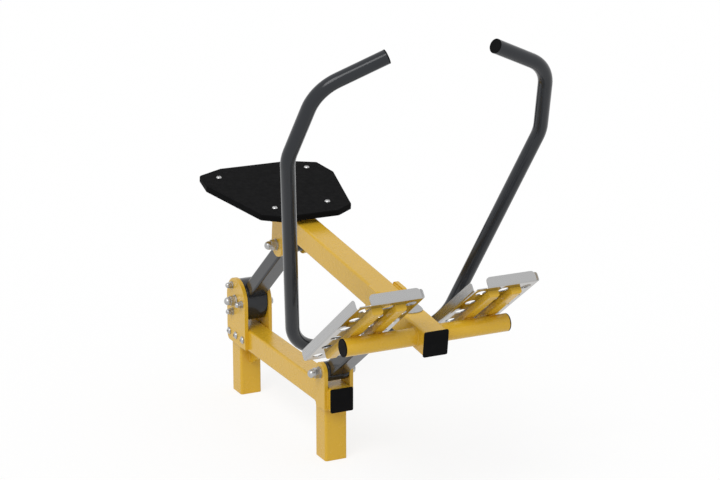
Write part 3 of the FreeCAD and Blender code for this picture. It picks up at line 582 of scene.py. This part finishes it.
def seen_rays(tree):
    """1 for rays that should see the white studio: camera, mirror-like and see-through ones."""
    path = tree.nodes.new("ShaderNodeLightPath")
    total = path.outputs["Is Camera Ray"]
    for name in ("Is Glossy Ray", "Is Transmission Ray"):
        either = tree.nodes.new("ShaderNodeMath")
        either.operation = "MAXIMUM"
        tree.links.new(total, either.inputs[0])
        tree.links.new(path.outputs[name], either.inputs[1])
        total = either.outputs["Value"]
    return total


def make_floor(studio):
    mesh = bmesh.new()
    place = Matrix.Translation(FLOOR_MIDDLE)
    bmesh.ops.create_grid(mesh, x_segments=1, y_segments=1, size=FLOOR_HALF, matrix=place)
    data = bpy.data.meshes.new("studio_floor")
    mesh.to_mesh(data)
    mesh.free()
    floor = bpy.data.objects.new("studio_floor", data)
    bpy.context.collection.objects.link(floor)
    material = bpy.data.materials.new("studio floor paper")
    material.use_nodes = True
    tree = material.node_tree
    tree.nodes.remove(tree.nodes["Principled BSDF"])
    paper = tree.nodes.new("ShaderNodeBsdfDiffuse")
    paper.inputs["Color"].default_value = (*studio.floor, 1.0)
    white = tree.nodes.new("ShaderNodeEmission")
    white.inputs["Strength"].default_value = FLOOR_WHITE
    share = tree.nodes.new("ShaderNodeMath")
    share.operation = "MULTIPLY"
    share.inputs[1].default_value = FLOOR_WHITE_SHARE
    tree.links.new(seen_rays(tree), share.inputs[0])
    mix = tree.nodes.new("ShaderNodeMixShader")
    tree.links.new(share.outputs["Value"], mix.inputs[0])
    tree.links.new(paper.outputs["BSDF"], mix.inputs[1])
    tree.links.new(white.outputs["Emission"], mix.inputs[2])
    tree.links.new(mix.outputs["Shader"], tree.nodes["Material Output"].inputs["Surface"])
    data.materials.append(material)


def make_sky(studio):
    world = bpy.data.worlds.new("studio sky")
    bpy.context.scene.world = world
    world.use_nodes = True
    tree = world.node_tree
    light = tree.nodes["Background"]
    light.inputs["Color"].default_value = (1.0, 1.0, 1.0, 1.0)
    light.inputs["Strength"].default_value = studio.sky
    white = tree.nodes.new("ShaderNodeBackground")
    white.inputs["Color"].default_value = (1.0, 1.0, 1.0, 1.0)
    white.inputs["Strength"].default_value = 1.0
    mix = tree.nodes.new("ShaderNodeMixShader")
    tree.links.new(seen_rays(tree), mix.inputs[0])
    tree.links.new(light.outputs["Background"], mix.inputs[1])
    tree.links.new(white.outputs["Background"], mix.inputs[2])
    tree.links.new(mix.outputs["Shader"], tree.nodes["World Output"].inputs["Surface"])


def make_key_lamp(studio):
    lamp = bpy.data.lights.new("key lamp", "SUN")
    lamp.energy = studio.key
    lamp.angle = studio.key_spread
    holder = bpy.data.objects.new("key lamp", lamp)
    holder.rotation_euler = KEY_FROM.to_track_quat("Z", "Y").to_euler()
    holder.location = KEY_FROM * KEY_DISTANCE
    bpy.context.collection.objects.link(holder)


def make_camera(studio):
    camera = bpy.data.cameras.new("camera")
    camera.sensor_fit = "HORIZONTAL"
    camera.sensor_width = SENSOR_WIDTH
    camera.lens = studio.lens
    holder = bpy.data.objects.new("camera", camera)
    turn = Matrix((CAMERA_RIGHT, CAMERA_UP, CAMERA_BACK)).transposed()
    holder.rotation_euler = turn.to_euler()
    holder.location = CAMERA_PLACE
    bpy.context.collection.objects.link(holder)
    bpy.context.scene.camera = holder


class ROWER_OT_studio(Operator):
    """Set up the pale floor, the soft light and the camera"""
    bl_idname = "rower.studio"
    bl_label = "Studio"
    bl_options = {"REGISTER", "UNDO"}

    def execute(self, context):
        studio = context.scene.rower_studio
        make_floor(studio)
        make_sky(studio)
        make_key_lamp(studio)
        make_camera(studio)
        context.scene.view_settings.view_transform = "Standard"
        return {"FINISHED"}


class ROWER_PT_sidebar(Panel):
    """Steps and settings of the rowing machine"""
    bl_idname = "ROWER_PT_sidebar"
    bl_label = "Rowing machine"
    bl_space_type = "VIEW_3D"
    bl_region_type = "UI"
    bl_category = "Rowing machine"

    def draw(self, context):
        layout = self.layout
        for step in STEPS:
            layout.operator(step.bl_idname)
        for group in (context.scene.rower_colours, context.scene.rower_sizes, context.scene.rower_studio):
            box = layout.box()
            for name in group.__annotations__:
                box.prop(group, name)


STEPS = (ROWER_OT_finishes, ROWER_OT_base_welds, ROWER_OT_arm_welds, ROWER_OT_carriage_welds, ROWER_OT_studio)
GROUPS = {"rower_colours": RowerColours, "rower_sizes": RowerSizes, "rower_studio": RowerStudio}
CLASSES = (*GROUPS.values(), *STEPS, ROWER_PT_sidebar)


def register():
    for item in CLASSES:
        bpy.utils.register_class(item)
    for name, group in GROUPS.items():
        setattr(bpy.types.Scene, name, PointerProperty(type=group))


def unregister():
    for name in GROUPS:
        delattr(bpy.types.Scene, name)
    for item in reversed(CLASSES):
        bpy.utils.unregister_class(item)


def main():
    register()
    bpy.ops.rower.finishes()
    bpy.ops.rower.base_welds()
    bpy.ops.rower.arm_welds()
    bpy.ops.rower.carriage_welds()
    bpy.ops.rower.studio()


if __name__ == "__main__":
    main()
